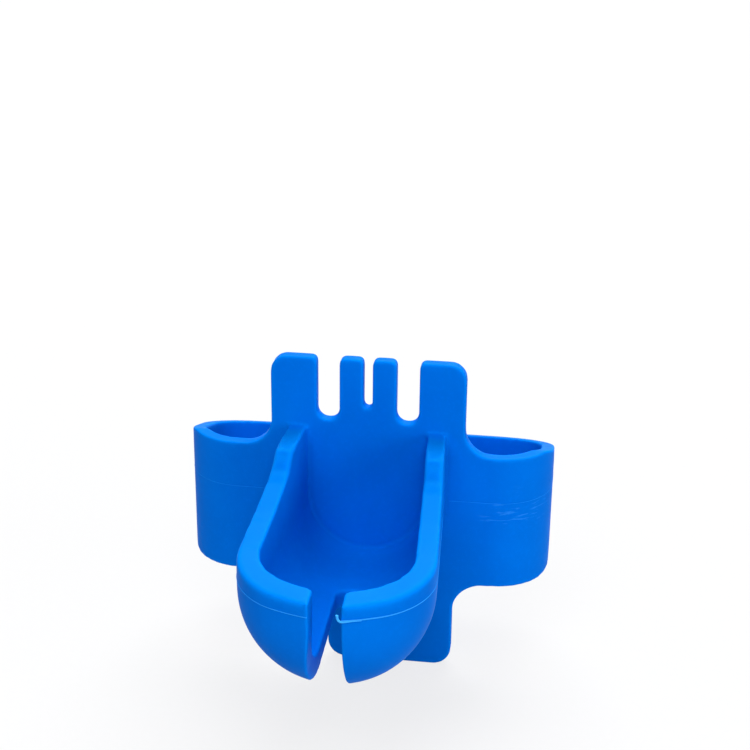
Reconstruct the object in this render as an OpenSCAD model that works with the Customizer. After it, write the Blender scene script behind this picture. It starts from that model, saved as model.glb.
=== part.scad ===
// Finger-worn tool for knotting latex balloons: one flexible moulding, drawn as the regions that form it.
// Origin: middle of the plate's back face, at the height of the mould's parting line.
// +X to the right, +Y from the plate towards the backs of the fingers, +Z along the fingers to their tips.

/* [Plate and comb] */
// Thickness of the plate, the teeth and the finger band
wall_t = 2.2; // [1.8:0.1:2.6]
// Width of the plate across the comb
plate_w = 30.4; // [29.6:0.1:31]
// Height of the teeth's tips above the parting line
comb_top_z = 22.7; // [20:0.1:26]
// Height of the line where the teeth stand on the plate
comb_root_z = 15.6; // [15.4:0.1:16]
// Distance of each wide slot's centre from the middle
wide_slot_x = 6.2; // [5.8:0.1:6.6]
// Width of the two wide slots
wide_slot_w = 3.5; // [3:0.1:3.8]
// Height of the bottom of the wide slots
wide_slot_z = 12.4; // [12:0.1:13]
// Width of the narrow slot in the middle
narrow_slot_w = 1.35; // [1.1:0.05:1.6]
// Height of the bottom of the narrow slot
narrow_slot_z = 14.7; // [14:0.1:14.9]
// Radius of the comb's two outer corners
comb_corner_r = 2.6; // [1.5:0.1:4]
// Radius of the small corners of the teeth
tooth_corner_r = 0.9; // [0.4:0.1:1.2]

/* [Lower tab] */
// Left edge of the tab
tab_left_x = -6.3; // [-8:0.1:-5]
// Right edge of the tab
tab_right_x = 14.0; // [13:0.1:15]
// Height of the tab's lower edge
tab_bottom_z = -29.9; // [-34:0.1:-26]
// Radius of the tab's lower corners
tab_corner_r = 3.0; // [1.5:0.1:4]
// Radius of the fillets between the tab and the band
tab_fillet_r = 5.0; // [3:0.1:5]

/* [Finger band] */
// Distance from the middle to the band's left side
band_left_x = 29.9; // [28:0.1:31]
// Distance from the middle to the band's right side
band_right_x = 28.9; // [28:0.1:31]
// Overall depth of the band, front to back
band_d = 22.4; // [21:0.1:25]
// Outer radius of the band's bends, seen from above
bend_r = 9; // [8:0.1:9.5]
// Height of the band's upper edge at the front
band_top_z = 7.6; // [6:0.1:9]
// Height of the band's lower edge at the front
band_bottom_z = -14.8; // [-16:0.1:-14.5]
// Height of the upper edge at the back, where the arms are narrower
arm_top_z = 1.8; // [0:0.1:4]
// Height of the lower edge at the back
arm_bottom_z = -13.0; // [-14.4:0.1:-12]
// Distance behind the plate's back face at which the arms start to narrow
fall_start_y = 2.5; // [2:0.1:6]
// Gap between the tips of the two arms
arm_gap = 12; // [8:0.5:16]
// Radius of the rounded tips of the arms
arm_tip_r = 6; // [3:0.1:7]
// Radius of the fillet between the comb's side and the band
band_fillet_r = 4.4; // [3:0.1:4.6]

/* [Trough] */
// Length of the straight part of the trough, forward of the plate
body_l = 27; // [24:0.1:30]
// Outer half width of the trough at the plate
outer_root = 12.3; // [11.8:0.1:12.6]
// Outer half width of the trough at the start of the nose
outer_nose = 14.0; // [13.6:0.1:14.4]
// Inner half width of the trough at the plate
inner_root = 9.5; // [9.1:0.1:10.1]
// Inner half width of the trough at the start of the nose
inner_nose = 10.8; // [10.4:0.1:11.4]
// Height of the two ears beside the plate
ear_z = 11.4; // [10:0.1:13]
// Length of the ears, forward of the plate
ear_l = 9; // [7:0.1:10]
// Length of the ramp in front of each ear
ear_ramp_l = 2.6; // [2:0.1:4]
// Height of the rim at the foot of the ramp
rim_z = 8.3; // [7:0.1:8.6]
// Distance forward of the plate at which the rim falls less steeply
rim_bend_l = 20; // [18:0.5:23]
// Height of the rim there
rim_bend_z = 6.2; // [5.8:0.1:6.8]
// Height of the rim at the start of the nose
rim_nose_z = 5.0; // [4.5:0.1:5.5]
// Height of the rim at the tip of the nose
rim_tip_z = 3.6; // [3:0.1:4.2]
// Radius of the fillets inside, between the trough and the plate
root_fillet_r = 0.8; // [0.5:0.1:2.5]

/* [Nose and slit] */
// Outer radius of the nose, seen from above
nose_r = 16; // [15.6:0.1:16.4]
// Wall thickness at the tip of the nose
nose_wall = 3.7; // [3.2:0.1:4.2]
// Distance of the nose's tip from the plate's front face
nose_tip = 41.3; // [40.5:0.1:42]
// Outer radius between the trough's side and the nose, seen from above
nose_corner_r = 12; // [8:0.1:12.5]
// Inner radius between the trough's side and the nose
inner_corner_r = 8; // [6:0.1:9]
// Width of the slit
slit_w = 5; // [4.6:0.1:5.4]
// Distance of the slit's round end from the plate's front face
slit_end = 12.5; // [11:0.1:14]

/* [Hidden] */
$fn = 96;
blue = [0.0, 0.45, 0.9];
deep_blue = [0.0, 0.38, 0.8];
light_blue = [0.1, 0.52, 0.95];
// Overlap that makes joined shapes one solid and cuts clean
over = 0.2;
// Longer than anything here, for cutting
far = 80;
// Height of the falling upper edge where it meets the inner face of the arms
arm_inner_z = arm_top_z + (band_top_z - arm_top_z) * wall_t / (band_d - wall_t - fall_start_y);
// The same for the lower edge
arm_inner_bottom_z = arm_bottom_z
    + (band_bottom_z - arm_bottom_z) * wall_t / (band_d - wall_t - fall_start_y);
// Distance forward of the plate at which the slit's straight sides start
slit_start = slit_end + slit_w / 2;
// Where the band's flat front ends and its first bend starts, for a side at x: the arms flex here
function flex_x(x) = x - bend_r;

// The sliver between a square corner at the origin and the arc that rounds or fills it
module corner(r) {
    difference() {
        translate([-over, -over]) square(r + over);
        translate([r, r]) circle(r);
    }
}

// Stands an outline drawn in X and Z up as a sheet behind the plate's front face
module sheet() rotate([90, 0, 0]) linear_extrude(wall_t) children();

// Draws across X an outline given in Y and Z
module across() translate([-far / 2, 0, 0]) rotate([90, 0, 90]) linear_extrude(far) children();

// Moves the trough's own frame, which starts at the plate's front face
module forward() translate([0, -wall_t, 0]) children();

// ---- plate and comb ----

// An upright slot with a round bottom
module slot(x, w, z) {
    translate([x, z + w / 2]) circle(d = w);
    translate([x - w / 2, z + w / 2]) square([w, comb_top_z]);
}

module comb_slots() {
    for (side = [-1, 1]) slot(side * wide_slot_x, wide_slot_w, wide_slot_z);
    slot(0, narrow_slot_w, narrow_slot_z);
}

module plate() color(blue) sheet() difference() {
    translate([-plate_w / 2, band_bottom_z]) square([plate_w, comb_root_z - band_bottom_z]);
    comb_slots();
}

// A tooth on the right half, from x0 to x1, with its own corner radii
module tooth(x0, x1, inner_r, outer_r) color(blue) sheet() difference() {
    translate([x0, comb_root_z]) square([x1 - x0, comb_top_z - comb_root_z]);
    translate([x0, comb_top_z]) mirror([0, 1]) corner(inner_r);
    translate([x1, comb_top_z]) rotate(180) corner(outer_r);
}

module inner_tooth()
    tooth(narrow_slot_w / 2, wide_slot_x - wide_slot_w / 2, tooth_corner_r, tooth_corner_r);

module outer_tooth()
    tooth(wide_slot_x + wide_slot_w / 2, plate_w / 2, tooth_corner_r, comb_corner_r);

// ---- lower tab ----

module lower_tab() color(blue) sheet() {
    difference() {
        translate([tab_left_x, tab_bottom_z])
            square([tab_right_x - tab_left_x, band_bottom_z - tab_bottom_z]);
        translate([tab_left_x, tab_bottom_z]) corner(tab_corner_r);
        translate([tab_right_x, tab_bottom_z]) mirror([1, 0]) corner(tab_corner_r);
    }
    intersection() {
        union() {
            translate([tab_left_x, band_bottom_z]) rotate(180) corner(tab_fillet_r);
            translate([tab_right_x, band_bottom_z]) mirror([0, 1]) corner(tab_fillet_r);
        }
        translate([-far / 2, band_bottom_z - far]) square(far);
    }
}

// ---- finger band, right half ----

module band_front(side_x) color(blue) sheet() {
    translate([plate_w / 2, band_bottom_z])
        square([flex_x(side_x) - plate_w / 2, band_top_z - band_bottom_z]);
    intersection() {
        translate([plate_w / 2, band_top_z]) corner(band_fillet_r);
        translate([plate_w / 2, 0]) square(far);
    }
}

// Side elevation of the band, which narrows towards the back
module band_elevation() across() polygon([
    [-far, band_bottom_z], [fall_start_y, band_bottom_z], [band_d - wall_t, arm_bottom_z],
    [far, arm_bottom_z], [far, arm_top_z], [band_d - wall_t, arm_top_z],
    [fall_start_y, band_top_z], [-far, band_top_z]]);

// A quarter of the band's wall round a bend, in plan, with its centre at the origin
module bend_quarter() intersection() {
    difference() {
        circle(bend_r);
        circle(bend_r - wall_t);
    }
    square(bend_r);
}

module band_bend(side_x) color(light_blue) intersection() {
    translate([0, 0, -far / 2]) linear_extrude(far) {
        translate([flex_x(side_x), bend_r - wall_t]) mirror([0, 1]) bend_quarter();
        translate([flex_x(side_x), band_d - wall_t - bend_r]) bend_quarter();
        translate([side_x - wall_t, bend_r - wall_t]) square([wall_t, band_d - 2 * bend_r]);
    }
    band_elevation();
}

module band_arm(side_x) color(blue) intersection() {
    translate([0, band_d - wall_t, 0]) sheet() difference() {
        translate([arm_gap / 2, arm_inner_bottom_z])
            square([flex_x(side_x) - arm_gap / 2, arm_inner_z - arm_inner_bottom_z]);
        translate([arm_gap / 2, arm_inner_bottom_z]) corner(arm_tip_r);
        translate([arm_gap / 2, arm_inner_z]) mirror([0, 1]) corner(arm_tip_r);
    }
    band_elevation();
}

// ---- trough: walls above the parting line, right half ----

// Side elevation of everything above the parting line: ear, ramp and falling rim
module rim_elevation() across() polygon([
    [over, 0], [over, ear_z], [0, ear_z], [-ear_l, ear_z - 0.3], [-ear_l - ear_ramp_l, rim_z],
    [-rim_bend_l, rim_bend_z], [-body_l, rim_nose_z], [-nose_tip, rim_tip_z], [-nose_tip - over, 0]]);

// Centre of the arc of radius c that joins the tapering side to a nose of radius r, in plan
function arc_centre(root, nose, r, tip, c) =
    let (k = (nose - root) / body_l, a = root - c * sqrt(1 + k * k) - k * (r - tip),
         w = (a * k - sqrt(a * a * k * k - (1 + k * k) * (a * a - (r - c) * (r - c)))) / (1 + k * k))
    [a - k * w, r - tip + w];

// Plan of the trough's right half: a tapering side, a joining arc and the round of the nose
module half_plan(root, nose, r, tip, c) {
    k = (nose - root) / body_l;
    mid = arc_centre(root, nose, r, tip, c);
    difference() {
        intersection() {
            polygon([[0, over], [root - k * over, over], [root + k * 2 * tip, -2 * tip], [0, -2 * tip]]);
            union() {
                translate([0, r - tip]) circle(r);
                translate([0, r - tip]) square(far);
            }
        }
        difference() {
            polygon([mid, mid + 2 * c * [1, k], mid + [2 * c, -2 * c],
                     mid + 2 * c / (r - c) * (mid - [0, r - tip])]);
            translate(mid) circle(c);
        }
    }
}

// Plan of the trough's wall, with the fillet where it stands on the plate
module wall_plan() difference() {
    half_plan(outer_root, outer_nose, nose_r, nose_tip, nose_corner_r);
    difference() {
        half_plan(inner_root, inner_nose, nose_r - 4, nose_tip - nose_wall, inner_corner_r);
        translate([inner_root, 0]) rotate(180) corner(root_fillet_r);
    }
}

// Keeps what lies right of x0 and between two distances forward of the plate
module between(y0, y1, x0 = 0) intersection() {
    children();
    translate([x0, -y1, -far / 2]) cube([far, y1 - y0, far]);
}

module upper_wall() intersection() {
    linear_extrude(far) wall_plan();
    rim_elevation();
}

module trough_side() color(light_blue) forward() between(0, body_l) upper_wall();

module nose_rim() color(light_blue) forward() between(body_l, nose_tip, slit_w / 2) upper_wall();

// ---- trough: half-round channel below the parting line ----

// The wall's plan turned about the trough's long axis, which lies on the parting line
module channel() rotate([-90, 0, 0]) rotate([0, 0, -90]) rotate_extrude() wall_plan();

// Keeps the lower half right of x0 and between two distances forward of the plate
module lower(x0, y0, y1) intersection() {
    children();
    translate([x0, -y1, -far]) cube([far - x0, y1 - y0, far]);
}

module channel_floor() color(deep_blue) forward() difference() {
    lower(-far, 0, slit_start) channel();
    translate([0, -slit_start, -far]) {
        cylinder(d = slit_w, h = far);
        translate([-slit_w / 2, -far, 0]) cube([slit_w, far, far]);
    }
}

module keel() color(deep_blue) forward() lower(slit_w / 2, slit_start, body_l) channel();

module nose_lobe() color(light_blue) forward() lower(slit_w / 2, body_l, nose_tip) channel();

module left() mirror([1, 0, 0]) children();

plate();
left() outer_tooth();  // outer_tooth_left
left() inner_tooth();  // inner_tooth_left
inner_tooth();  // inner_tooth_right
outer_tooth();  // outer_tooth_right
lower_tab();
left() band_front(band_left_x);  // band_front_left
band_front(band_right_x);  // band_front_right
left() band_bend(band_left_x);  // band_bend_left
band_bend(band_right_x);  // band_bend_right
left() band_arm(band_left_x);  // band_arm_left
band_arm(band_right_x);  // band_arm_right
left() trough_side();  // trough_side_left
trough_side();  // trough_side_right
left() nose_rim();  // nose_rim_left
nose_rim();  // nose_rim_right
channel_floor();
left() keel();  // keel_left
keel();  // keel_right
left() nose_lobe();  // nose_lobe_left
nose_lobe();  // nose_lobe_right
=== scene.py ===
"""Looks of the balloon knotting tool: its skin with rounded edges, flash, blue plastic, floor and light."""
import math

import bmesh
import bpy
from mathutils import Matrix, Vector


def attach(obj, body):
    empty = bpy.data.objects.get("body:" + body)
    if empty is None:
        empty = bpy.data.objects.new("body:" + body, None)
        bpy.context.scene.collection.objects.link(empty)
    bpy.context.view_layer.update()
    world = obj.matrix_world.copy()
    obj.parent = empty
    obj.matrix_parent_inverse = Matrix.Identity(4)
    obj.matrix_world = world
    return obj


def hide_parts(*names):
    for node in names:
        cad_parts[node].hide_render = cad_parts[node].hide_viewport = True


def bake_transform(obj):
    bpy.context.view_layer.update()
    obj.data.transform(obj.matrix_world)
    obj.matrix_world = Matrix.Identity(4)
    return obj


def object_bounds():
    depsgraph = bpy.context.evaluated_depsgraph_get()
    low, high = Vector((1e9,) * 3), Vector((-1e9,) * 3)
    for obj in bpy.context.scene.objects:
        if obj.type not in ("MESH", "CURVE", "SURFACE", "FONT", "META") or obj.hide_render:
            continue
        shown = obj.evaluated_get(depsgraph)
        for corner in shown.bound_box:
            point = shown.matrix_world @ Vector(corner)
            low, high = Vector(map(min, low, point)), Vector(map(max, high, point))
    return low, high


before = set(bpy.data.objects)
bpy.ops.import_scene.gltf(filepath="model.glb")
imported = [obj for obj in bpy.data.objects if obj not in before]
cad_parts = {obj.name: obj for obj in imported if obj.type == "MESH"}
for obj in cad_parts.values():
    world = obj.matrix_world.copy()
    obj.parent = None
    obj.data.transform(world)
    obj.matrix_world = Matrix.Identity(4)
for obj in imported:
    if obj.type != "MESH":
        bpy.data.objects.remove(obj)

cad_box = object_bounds()

# ---- sizes, in metres unless a count ----
MM = 0.001                 # one millimetre
GRAIN = 0.20 * MM          # size of the faces of the moulding's skin while it is worked
KEPT = 0.61                # share of the faces that the skin keeps; the band's halves keep all of theirs
EDGE_PASSES = 9            # how far the sharp edges melt
NOSE_PASSES = 14           # how much further the outer edge of the nose melts
IRON_PASSES = 40           # how far the faces between the edges are ironed
EDGE_DEPTH = 0.13 * MM     # how far a point moves where an edge melts fully
NOSE_Y = -0.0275           # centre of the nose's round
NOSE_WALL = 0.0141         # radius of the middle of the nose's wall
NOSE_R = 0.016             # radius of its outer face
SLIT = 0.0025              # half the width of the slit through the nose
NOSE_FLASH = 0.0016        # height of the flash round the nose; on the band it runs at height zero
RAMP_Y = -0.0125           # middle of the ramps that fall from the trough's ears to its rims
FOOT_Y = -0.0138           # foot of these ramps
FOOT_LIFT = 0.42 * MM      # how much the melted foot is filled
SLIT_SHIFT = 0.30 * MM     # how far the top of the slit stands to the right, its left side twice as far
LEFT_CUT = -0.0170         # where the left half of the band is cut from the core
RIGHT_CUT = 0.0165         # the same on the right
MIDDLE_Y = 0.0090          # halfway between the front of the band and the back of its arms
FRONT_Y = -0.0022          # front face of the plate and the band
BACK_Y = 0.0202            # outer face of the arms
TIP_X = 0.0066             # where the flash ends on the rounded tip of each arm
FINE, MIDDLING = 0.03 * MM, 0.055 * MM               # radii of the flash's bead
COARSE_LEFT, COARSE_RIGHT = 0.065 * MM, 0.10 * MM    # its radii at the two sides of the slit
CURL = ((5.2, -42.65, 1.55), (3.9, -43.05, 1.55), (3.1, -43.3, 1.5),
        (2.5, -43.4, 1.5), (2.1, -43.35, 1.8), (2.0, -43.3, 2.4))    # the curl at the slit, in millimetres
CURL_TIP = 0.20 * MM       # radius of the curl at its free end
FLOOR_HALF = 3.0           # half the floor's width

# each lamp: name, degrees round from the front to the right, degrees up, strength
LAMPS = (("high_in_front", 0, 50, 2.30),
         ("high_behind", 177, 50, 4.1),
         ("low_on_the_right", 60, 3, 2.10))
LAMP_SPREAD = 50           # how wide each lamp looks, in degrees


# ---- node sheets: maths on the output of a node reads as maths ----

class Wire:
    """The output of a node; a sum on it adds the Math node that does the sum."""

    def __init__(self, sheet, socket):
        self.sheet, self.socket = sheet, socket

    def __add__(self, other):
        return self.sheet.maths("ADD", self, other)

    def __radd__(self, other):
        return self.sheet.maths("ADD", other, self)

    def __sub__(self, other):
        return self.sheet.maths("SUBTRACT", self, other)

    def __rsub__(self, other):
        return self.sheet.maths("SUBTRACT", other, self)

    def __mul__(self, other):
        return self.sheet.maths("MULTIPLY", self, other)

    def __rmul__(self, other):
        return self.sheet.maths("MULTIPLY", other, self)

    def __truediv__(self, other):
        return self.sheet.maths("DIVIDE", self, other)

    def __abs__(self):
        return self.sheet.maths("ABSOLUTE", self)

    def out(self, name):
        """Another output of the same node."""
        return Wire(self.sheet, self.socket.node.outputs[name])

    def above(self, edge, soft):
        """1 where the value is above edge and 0 below it, turning over the width soft."""
        return self.sheet.node("ShaderNodeMapRange", {"interpolation_type": "SMOOTHSTEP"}, {
            "Value": self, "From Min": edge - soft / 2, "From Max": edge + soft / 2,
            "To Min": 0.0, "To Max": 1.0})


class Sheet:
    """The nodes of one material, world or geometry tree."""

    def __init__(self, tree):
        self.tree = tree
        tree.nodes.clear()

    def node(self, kind, settings=None, values=None, out=0):
        """Adds a node: its settings first, then the values or wires of its inputs by name or place.

        Gives the wire of its first output, or of the one that out names.
        """
        made = self.tree.nodes.new(kind)
        for name, value in (settings or {}).items():
            setattr(made, name, value)
        for name, value in (values or {}).items():
            self.put(made.inputs[name], value)
        return Wire(self, made.outputs[out]) if made.outputs else None

    def put(self, into, value):
        if isinstance(value, Wire):
            self.tree.links.new(value.socket, into)
        else:
            into.default_value = value

    def maths(self, operation, *values):
        return self.node("ShaderNodeMath", {"operation": operation}, dict(enumerate(values)))

    def parts(self, vector):
        """The X, Y and Z of a vector."""
        x = self.node("ShaderNodeSeparateXYZ", {}, {"Vector": vector})
        return x, x.out("Y"), x.out("Z")

    def noise(self, place, scale, detail, rough=0.5, stretch=(1, 1, 1)):
        if stretch != (1, 1, 1):
            place = self.node("ShaderNodeMapping", {}, {"Vector": place, "Scale": stretch})
        return self.node("ShaderNodeTexNoise", {}, {
            "Vector": place, "Scale": scale, "Detail": detail, "Roughness": rough})

    def mix(self, factor, a, b):
        """A colour mixed from two."""
        made = self.tree.nodes.new("ShaderNodeMix")
        made.data_type = "RGBA"
        into = {s.identifier: s for s in made.inputs}
        for name, value in (("Factor_Float", factor), ("A_Color", a), ("B_Color", b)):
            self.put(into[name], value)
        return Wire(self, next(s for s in made.outputs if s.identifier == "Result_Color"))


def new_material(name):
    """An empty material and its sheet."""
    material = bpy.data.materials.new(name)
    material.use_nodes = True
    return material, Sheet(material.node_tree)


# ---- blue moulded plastic ----

def moulded_blue():
    """The plastic of the moulding and its flash."""
    material, s = new_material("moulded_blue_plastic")
    place = s.node("ShaderNodeTexCoord", out="Object")
    x, y, z = s.parts(place)
    facing_x, facing_y, facing_z = s.parts(s.node("ShaderNodeNewGeometry", out="Normal"))
    bend = s.node("ShaderNodeAttribute", {"attribute_name": "bend"}, out="Fac")
    thin = s.node("ShaderNodeAttribute", {"attribute_name": "thin"}, out="Fac")

    # colour: the pigment clouds a little; convex edges and the flash get a painted highlight, and concave
    # creases a painted shade
    cloud = s.noise(place, 95.0, 3.0, 0.55)
    fleck = s.noise(place, 1400.0, 2.0, 0.6)
    blue = s.mix(cloud.above(0.5, 0.5), (0.0, 0.127, 0.600, 1), (0.0, 0.140, 0.645, 1))
    blue = s.mix(fleck.above(0.58, 0.16) * 0.25, blue, (0.0, 0.155, 0.70, 1))
    # painted highlight: convex edges, where bend is above zero, are painted paler
    blue = s.mix(s.maths("MAXIMUM", bend, 0.0) * 0.6, blue, (0.0, 0.21, 0.80, 1))
    # painted shade: concave creases, where bend is below zero, are painted darker, but not high up at the
    # ear roots above about 9 mm
    painted_crease_shade = s.maths("MAXIMUM", -1 * bend, 0.0) * (1 - z.above(9.0 * MM, 3 * MM))
    blue = s.mix(painted_crease_shade * 0.45, blue, (0.0, 0.045, 0.34, 1))
    # painted highlight: the flash's bead is painted paler, the more the thicker it is
    blue = s.mix(thin, blue, (0.04, 0.36, 0.95, 1))

    # painted light: the narrow upward-facing rims of the trough are painted paler, as if lit from above
    rim = facing_z.above(0.80, 0.20) * z.above(2.9 * MM, 0.8 * MM) * (1 - y.above(-4.0 * MM, 2 * MM))
    blue = s.mix(rim * 0.5, blue, (0.0, 0.18, 0.62, 1))

    # scuffs: short streaks rubbed across the front right bend of the band, near the parting line
    rub = s.noise(place, 1500.0, 3.0, 0.6, (0.22, 0.22, 2.0)).above(0.60, 0.05)
    worn = s.noise(place, 260.0, 1.0).above(0.50, 0.14)
    outside = (facing_x - facing_y).above(0.3, 0.4)
    at_bend = x.above(18 * MM, 4 * MM) * (1 - y.above(5 * MM, 6 * MM)) * outside
    scuff = rub * worn * at_bend * (1 - abs(z + 0.6 * MM).above(3.0 * MM, 3 * MM))
    hair = s.noise(place, 1500.0, 2.0, 0.5, (0.10, 0.4, 1.9)).above(0.66, 0.05)
    colour = s.mix(scuff * 0.35, blue, (0.03, 0.28, 0.88, 1))

    # gloss: satin, with fingermarks and hair scratches
    mark = s.noise(place, 150.0, 4.0, 0.6)
    rough = 0.42 + (mark - 0.5) * 0.16 + hair * 0.10 + scuff * 0.20 + fleck * 0.05

    # relief: the faint orange peel of a polished mould, slight sinks and the scratches
    peel = s.noise(place, 520.0, 2.0)
    sink = s.noise(place, 110.0, 1.0, 0.4)
    height = peel * (0.010 * MM) + sink * (0.05 * MM) - scuff * (0.006 * MM) - hair * (0.003 * MM)
    relief = s.node("ShaderNodeBump", {}, {"Height": height, "Strength": 1.0, "Distance": 1.0})

    plastic = s.node("ShaderNodeBsdfPrincipled", {}, {
        "Base Color": colour, "Roughness": rough, "Normal": relief, "IOR": 1.45,
        "Specular IOR Level": 0.008, "Specular Tint": (0.02, 0.60, 1.0, 1.0),
        "Subsurface Weight": 0.1, "Subsurface Radius": (0.2, 0.6, 1.0), "Subsurface Scale": 1.2 * MM})
    s.node("ShaderNodeOutputMaterial", {}, {"Surface": plastic})
    return material


# ---- geometry trees ----

def tree_with(name, inputs):
    """A geometry tree with named inputs, its sheet, and the node that gives the inputs."""
    tree = bpy.data.node_groups.new(name, "GeometryNodeTree")
    tree.interface.new_socket("Geometry", in_out="INPUT", socket_type="NodeSocketGeometry")
    for label, kind, value in inputs:
        tree.interface.new_socket(label, in_out="INPUT", socket_type=kind).default_value = value
    tree.interface.new_socket("Geometry", in_out="OUTPUT", socket_type="NodeSocketGeometry")
    s = Sheet(tree)
    return tree, s, s.node("NodeGroupInput")


def close_tree(s, geometry, material):
    """Every tree ends by making its copies real and giving them their material."""
    real = s.node("GeometryNodeRealizeInstances", {}, {"Geometry": geometry})
    done = s.node("GeometryNodeSetMaterial", {}, {"Geometry": real, "Material": material})
    s.node("NodeGroupOutput", {}, {"Geometry": done})


def keep_value(s, geometry, name, value, kind="FLOAT"):
    """Writes a value on every point under a name."""
    return s.node("GeometryNodeStoreNamedAttribute", {"data_type": kind}, {
        "Geometry": geometry, "Name": name, "Value": value})


def kept_value(s, name, kind="FLOAT"):
    """The value that every point keeps under a name."""
    return s.node("GeometryNodeInputNamedAttribute", {"data_type": kind}, {"Name": name})


def melt(s, geometry, passes, weight=1.0):
    """Moves every point towards its neighbours, so many times over, as strongly as weight says."""
    place = s.node("GeometryNodeInputPosition")
    blur = s.node("GeometryNodeBlurAttribute", {"data_type": "FLOAT_VECTOR"}, {
        "Value": place, "Iterations": passes, "Weight": weight})
    return s.node("GeometryNodeSetPosition", {}, {"Geometry": geometry, "Position": blur})


def soften_tree(material):
    """Rounds the edges, the most on the nose's outer side and the ears, and irons the faces between."""
    tree, s, given = tree_with("soften_edges", [
        ("Edge Passes", "NodeSocketInt", EDGE_PASSES), ("Nose Passes", "NodeSocketInt", NOSE_PASSES),
        ("Iron Passes", "NodeSocketInt", IRON_PASSES), ("Edge Depth", "NodeSocketFloat", EDGE_DEPTH)])
    place = s.node("GeometryNodeInputPosition")
    skin = keep_value(s, given, "was", place, "FLOAT_VECTOR")
    skin = melt(s, skin, given.out("Edge Passes"))
    x, y, z = s.parts(place)
    ahead = s.maths("MAXIMUM", NOSE_Y - y, 0.0)
    reach = s.maths("SQRT", x * x + ahead * ahead)
    outside = (1 - y.above(NOSE_Y + 2 * MM, 8 * MM)) * reach.above(NOSE_WALL, 0.8 * MM)
    outside = outside * abs(x).above(SLIT + 0.9 * MM, 0.8 * MM)
    ears = (1 - abs(y - RAMP_Y).above(2.6 * MM, 1.5 * MM)) * z.above(6.5 * MM, 2 * MM)
    most = s.maths("MAXIMUM", outside * z.above(1 * MM, 2 * MM), ears)
    skin = melt(s, skin, given.out("Nose Passes"), most)
    move = s.node("ShaderNodeVectorMath", {"operation": "SUBTRACT"}, {
        0: place, 1: kept_value(s, "was", "FLOAT_VECTOR")})
    depth = s.node("ShaderNodeVectorMath", {"operation": "DOT_PRODUCT"}, {
        0: move, 1: s.node("GeometryNodeInputNormal")}, out="Value")
    sharp = s.maths("MAXIMUM", s.maths("MINIMUM", -1 * depth / given.out("Edge Depth"), 1.0), -1.0)
    spread = s.node("GeometryNodeBlurAttribute", {"data_type": "FLOAT"}, {
        "Value": sharp, "Iterations": 2})
    skin = keep_value(s, skin, "bend", spread)
    flat = 1 - abs(kept_value(s, "bend")).above(0.22, 0.28)
    skin = melt(s, skin, given.out("Iron Passes"), flat)
    skin = s.node("GeometryNodeRemoveAttribute", {}, {"Geometry": skin, "Name": "was"})
    x, y, z = s.parts(s.node("GeometryNodeInputPosition"))
    at_slit = (1 - abs(x).above(6 * MM, 6 * MM)) * (1 - y.above(NOSE_Y - 2 * MM, 20 * MM))
    at_slit = at_slit * z.above(-5 * MM, 9 * MM)
    at_foot = (1 - abs(y - FOOT_Y).above(1.5 * MM, 1.8 * MM)) * z.above(6 * MM, 2 * MM)
    shift = s.node("ShaderNodeCombineXYZ", {}, {
        "X": at_slit * (SLIT_SHIFT - SLIT_SHIFT / SLIT * x), "Z": at_foot * FOOT_LIFT})
    skin = s.node("GeometryNodeSetPosition", {}, {"Geometry": skin, "Offset": shift})
    close_tree(s, skin, material)
    return tree


def flash_tree(material):
    """Lays a fine round bead of flash along paths, as thick as their thick value says."""
    tree, s, given = tree_with("flash_bead", [
        ("Step", "NodeSocketFloat", 0.25 * MM), ("Sides", "NodeSocketInt", 8),
        ("Palest", "NodeSocketFloat", 0.14 * MM)])
    path = s.node("GeometryNodeMeshToCurve", {}, {"Mesh": given})
    path = s.node("GeometryNodeCurveSplineType", {"spline_type": "CATMULL_ROM"}, {"Curve": path})
    path = s.node("GeometryNodeResampleCurve", {"mode": "LENGTH"}, {
        "Curve": path, "Length": given.out("Step")})
    ring = s.node("GeometryNodeCurvePrimitiveCircle", {}, {
        "Resolution": given.out("Sides"), "Radius": 1.0})
    bead = s.node("GeometryNodeCurveToMesh", {}, {
        "Curve": path, "Profile Curve": ring, "Scale": kept_value(s, "thick"), "Fill Caps": True})
    bead = s.node("GeometryNodeSetShadeSmooth", {}, {"Geometry": bead})
    # painted highlight: the bead is painted as a full convex edge, and paler the thicker it is
    bead = keep_value(s, bead, "bend", 1.0)
    bead = keep_value(s, bead, "thin", kept_value(s, "thick") / given.out("Palest"))
    close_tree(s, bead, material)
    return tree


def add_piece(name, mesh):
    """A new object in the scene, of that name and mesh."""
    piece = bpy.data.objects.new(name, mesh)
    bpy.context.scene.collection.objects.link(piece)
    return piece


def finish_modifiers(piece):
    """Turns a piece with live modifiers into its plain, finished mesh."""
    ready = piece.evaluated_get(bpy.context.evaluated_depsgraph_get())
    mesh = bpy.data.meshes.new_from_object(ready)
    piece.modifiers.clear()
    piece.data = mesh
    return piece


# ---- the moulding's skin ----

def joined_solids():
    """Merged copies of all the solids in one mesh."""
    work = bmesh.new()
    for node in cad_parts.values():
        solid = bmesh.new()
        solid.from_mesh(node.data)
        bmesh.ops.remove_doubles(solid, verts=solid.verts, dist=1e-6)
        plain = bpy.data.meshes.new("solid")
        solid.to_mesh(plain)
        work.from_mesh(plain)
        solid.free()
        bpy.data.meshes.remove(plain)
    mesh = bpy.data.meshes.new("solids")
    work.to_mesh(mesh)
    work.free()
    return mesh


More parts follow.
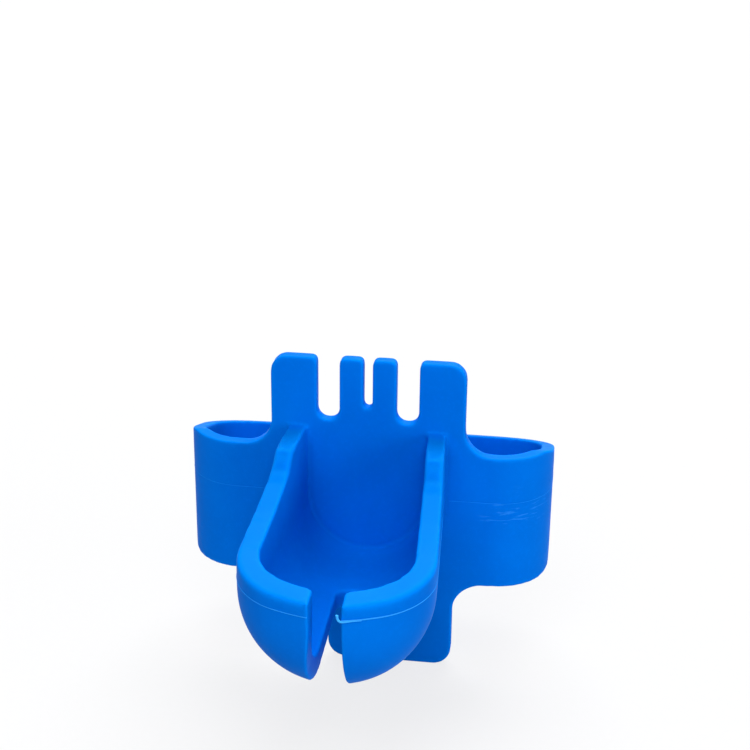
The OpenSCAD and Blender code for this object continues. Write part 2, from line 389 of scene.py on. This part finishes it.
def rounded_skin(material):
    """One skin over all the solids, with the edges rounded and the faces of the middle thinned out."""
    skin = add_piece("skin", joined_solids())
    cover = skin.modifiers.new("cover", "REMESH")
    cover.mode, cover.voxel_size, cover.use_smooth_shade = "VOXEL", GRAIN, True
    skin.modifiers.new("soften", "NODES").node_group = soften_tree(material)
    finish_modifiers(skin)
    middle = skin.vertex_groups.new(name="middle")
    inside = [v.index for v in skin.data.vertices if LEFT_CUT < v.co.x < RIGHT_CUT and v.co.y < MIDDLE_Y]
    middle.add(inside, 1.0, "REPLACE")
    thin = skin.modifiers.new("thin", "DECIMATE")
    thin.ratio, thin.vertex_group = KEPT, middle.name
    finish_modifiers(skin)
    skin.vertex_groups.clear()
    return skin


def part_round(work, place):
    """The corners that hang together with the one nearest to a place."""
    first = min(work.verts, key=lambda v: (v.co - Vector(place)).length)
    part, fresh = {first}, [first]
    while fresh:
        for edge in fresh.pop().link_edges:
            for corner in edge.verts:
                if corner not in part:
                    part.add(corner)
                    fresh.append(corner)
    return part


def cut_piece(skin, name, cuts, place):
    """The closed piece of the skin that holds a place; the skin is cut at each x, at the front only."""
    work = bmesh.new()
    work.from_mesh(skin.data)
    for x in cuts:
        front = [f for f in work.faces if f.calc_center_median().y < MIDDLE_Y]
        around = {e for f in front for e in f.edges} | {v for f in front for v in f.verts}
        cut = bmesh.ops.bisect_plane(work, geom=front + list(around), plane_co=(x, 0, 0),
                                     plane_no=(1, 0, 0), dist=1e-7)["geom_cut"]
        bmesh.ops.split_edges(work, edges=[e for e in cut if isinstance(e, bmesh.types.BMEdge)])
    part = part_round(work, place)
    bmesh.ops.delete(work, geom=[v for v in work.verts if v not in part], context="VERTS")
    for x in cuts:
        rim = [e for e in work.edges if e.is_boundary and abs(e.verts[0].co.x - x) < 1e-6]
        bmesh.ops.triangle_fill(work, edges=rim, use_beauty=True, normal=(math.copysign(1, x), 0, 0))
        for edge in rim:
            edge.smooth = False
    bmesh.ops.dissolve_degenerate(work, dist=1e-6, edges=work.edges[:])
    bmesh.ops.triangulate(work, faces=[f for f in work.faces if len(f.verts) > 3])
    bmesh.ops.recalc_face_normals(work, faces=work.faces[:])
    mesh = bpy.data.meshes.new(name)
    work.to_mesh(mesh)
    work.free()
    mesh.materials.append(skin.data.materials[0])
    return add_piece(name, mesh)


# ---- flash along the mould's parting line ----

def strung(edges):
    """Edges strung together into rings of points."""
    joins, rings = {}, []
    for edge in edges:
        for one, other in (edge.verts, reversed(edge.verts)):
            joins.setdefault(one, []).append(other)
    while joins:
        ring, at = [], next(iter(joins))
        while at:
            ring.append(at.co.copy())
            at = next((v for v in joins.pop(at) if v in joins), None)
        rings.append(ring)
    return rings


def parting_ring(skin, height, rise=0.0):
    """The outline of the moulding where a plane of that height at the plate, and rise, meets it."""
    work = bmesh.new()
    work.from_mesh(skin.data)
    whole = work.verts[:] + work.edges[:] + work.faces[:]
    cut = bmesh.ops.bisect_plane(work, geom=whole, plane_co=(0, FRONT_Y, height),
                                 plane_no=(0, rise, 1), dist=1e-7)["geom_cut"]
    ring = max(strung(e for e in cut if isinstance(e, bmesh.types.BMEdge)), key=len)
    work.free()
    return ring


def stretch(ring, start, via, end):
    """The part of a ring from the point nearest start, past via, to the one nearest end."""
    first, middle, last = (min(range(len(ring)), key=lambda i: (ring[i].xy - Vector(p)).length)
                           for p in (start, via, end))
    step = 1 if (middle - first) % len(ring) < (last - first) % len(ring) else -1
    count = (last - first) * step % len(ring)
    return [ring[(first + step * i) % len(ring)] for i in range(count + 1)]


def flash(name, tree, paths):
    """A piece of flash; each path is its points and the bead's radius at its first and last point."""
    points, links, thick = [], [], []
    for path, first, last in paths:
        links += [(len(points) + i, len(points) + i + 1) for i in range(len(path) - 1)]
        thick += [first + (last - first) * i / (len(path) - 1) for i in range(len(path))]
        points += [tuple(p) for p in path]
    mesh = bpy.data.meshes.new(name)
    mesh.from_pydata(points, links, [])
    mesh.attributes.new("thick", "FLOAT", "POINT").data.foreach_set("value", thick)
    piece = add_piece(name, mesh)
    piece.modifiers.new("bead", "NODES").node_group = tree
    return finish_modifiers(piece)


def all_flash(skin, material):
    """Flash round the trough and the band's front, on each half of the band, and a curl at the slit."""
    tree = flash_tree(material)
    level, nose = parting_ring(skin, 0.0), parting_ring(skin, NOSE_FLASH)
    sides = parting_ring(skin, 0.0, NOSE_FLASH / (FRONT_Y - NOSE_Y))
    core, halves = [], []
    for side, cut, coarse, edge in ((-1, LEFT_CUT, COARSE_LEFT, cad_box[0].x),
                                    (1, RIGHT_CUT, COARSE_RIGHT, cad_box[1].x)):
        # places on the outline: from the plate forwards to the slit, and on the plate outwards
        root, wall, widest = (side * 0.0124, -0.0032), (side * 0.0150, -0.0150), (side * NOSE_R, NOSE_Y)
        corner = (side * 0.0113, NOSE_Y - 0.0113)
        slit = (side * SLIT + SLIT_SHIFT * (1 - side), -0.0434)
        inner, outer = (side * 0.0130, FRONT_Y), (side * 0.0160, FRONT_Y)
        core.append((stretch(sides, root, wall, widest), FINE, MIDDLING))
        core.append((stretch(nose, widest, corner, slit), MIDDLING, coarse))
        core.append((stretch(level, inner, outer, (cut, FRONT_Y)), FINE, FINE))
        halves.append(stretch(level, (cut, FRONT_Y), (edge, MIDDLE_Y), (side * TIP_X, BACK_Y)))
    curl = [Vector(point) * MM for point in CURL]
    return (flash("flash_core", tree, core), flash("flash_left_band", tree, [(halves[0], FINE, FINE)]),
            flash("flash_right_band", tree, [(halves[1], FINE, FINE)]),
            flash("flash_curl", tree, [(curl, COARSE_RIGHT, CURL_TIP)]))


# ---- floor, lamps and camera ----

def pale_where_seen(s):
    """1 for what is seen straight, in gloss or through glass, and 0 for the light that bounces."""
    straight = s.node("ShaderNodeLightPath", out="Is Camera Ray")
    seen = s.maths("MAXIMUM", straight, straight.out("Is Glossy Ray"))
    return s.maths("MAXIMUM", seen, straight.out("Is Transmission Ray"))


def pale_floor():
    """The floor at the height of the object's lowest point: grey for the light, near white where seen."""
    material, s = new_material("pale_floor")
    grain = s.noise(s.node("ShaderNodeTexCoord", out="Object"), 900.0, 2.0)
    colour = s.mix(grain, (0.40, 0.40, 0.405, 1), (0.44, 0.44, 0.445, 1))
    paper = s.node("ShaderNodeBsdfPrincipled", {}, {
        "Base Color": colour, "Roughness": 0.9, "Specular IOR Level": 0.1})
    white = s.node("ShaderNodeEmission", {}, {"Color": (1.0, 1.0, 1.0, 1), "Strength": 1.08})
    both = s.node("ShaderNodeMixShader", {}, {0: pale_where_seen(s) * 0.72, 1: paper, 2: white})
    s.node("ShaderNodeOutputMaterial", {}, {"Surface": both})
    mesh = bpy.data.meshes.new("floor")
    corners = [(x * FLOOR_HALF, y * FLOOR_HALF, cad_box[0].z)
               for x, y in ((-1, -1), (1, -1), (1, 1), (-1, 1))]
    mesh.from_pydata(corners, [], [(0, 1, 2, 3)])
    mesh.materials.append(material)
    add_piece("floor", mesh)


def soft_lamp(name, turn, height, strength):
    """A far, wide lamp, turn degrees round from the front and height degrees up."""
    data = bpy.data.lights.new(name, "SUN")
    data.angle, data.energy = math.radians(LAMP_SPREAD), strength
    lamp = bpy.data.objects.new(name, data)
    bpy.context.scene.collection.objects.link(lamp)
    lamp.rotation_euler = (math.radians(90 - height), 0, math.radians(turn))


def studio_air():
    """The air around: dim for the light that it gives, and white where seen."""
    world = bpy.data.worlds.new("studio")
    bpy.context.scene.world = world
    world.use_nodes = True
    s = Sheet(world.node_tree)
    air = s.node("ShaderNodeBackground", {}, {"Color": (0.95, 0.98, 1.0, 1), "Strength": 0.24})
    white = s.node("ShaderNodeBackground", {}, {"Color": (1.0, 1.0, 1.0, 1), "Strength": 1.0})
    both = s.node("ShaderNodeMixShader", {}, {0: pale_where_seen(s), 1: air, 2: white})
    s.node("ShaderNodeOutputWorld", {}, {"Surface": both})


def camera():
    """The camera: where it stands, how it is turned, tilted down and rolled, in radians, and its lens."""
    place = Vector((0.0300177, -0.2133991, 0.1043719))
    turn, tilt, roll = 0.136018338, 0.375108495, 0.0106099664
    look = Vector((-math.sin(turn) * math.cos(tilt), math.cos(turn) * math.cos(tilt), -math.sin(tilt)))
    right = Vector((math.cos(turn), math.sin(turn), 0))
    up = right.cross(look)
    right, up = (right * math.cos(roll) + up * math.sin(roll),
                 up * math.cos(roll) - right * math.sin(roll))
    data = bpy.data.cameras.new("camera")
    data.lens, data.sensor_width, data.clip_start = 72, 36, 0.01
    made = bpy.data.objects.new("camera", data)
    bpy.context.scene.collection.objects.link(made)
    made.matrix_world = Matrix((
        (right.x, up.x, -look.x, place.x), (right.y, up.y, -look.y, place.y),
        (right.z, up.z, -look.z, place.z), (0, 0, 0, 1)))
    bpy.context.scene.camera = made


# ---- the scene ----

blue = moulded_blue()
skin = rounded_skin(blue)
core = cut_piece(skin, "plate_and_trough", [LEFT_CUT, RIGHT_CUT], (0, FRONT_Y, 0))
left_band = cut_piece(skin, "left_band", [LEFT_CUT], (cad_box[0].x, MIDDLE_Y, 0))
right_band = cut_piece(skin, "right_band", [RIGHT_CUT], (cad_box[1].x, MIDDLE_Y, 0))
flash_core, flash_left, flash_right, flash_curl = all_flash(skin, blue)
bpy.data.objects.remove(skin)

for piece in (core, flash_core, flash_curl):
    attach(piece, "body")
for piece in (left_band, flash_left):
    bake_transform(piece)
for piece in (right_band, flash_right):
    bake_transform(piece)
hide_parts("plate", "outer_tooth_left", "inner_tooth_left", "inner_tooth_right",
            "outer_tooth_right", "lower_tab", "band_front_left", "band_front_right",
            "trough_side_left", "trough_side_right", "nose_rim_left", "nose_rim_right",
            "channel_floor", "keel_left", "keel_right", "nose_lobe_left", "nose_lobe_right")
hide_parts("band_bend_left", "band_arm_left")
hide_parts("band_bend_right", "band_arm_right")

pale_floor()
for lamp in LAMPS:
    soft_lamp(*lamp)
studio_air()
camera()
bpy.context.scene.view_settings.view_transform = "Standard"
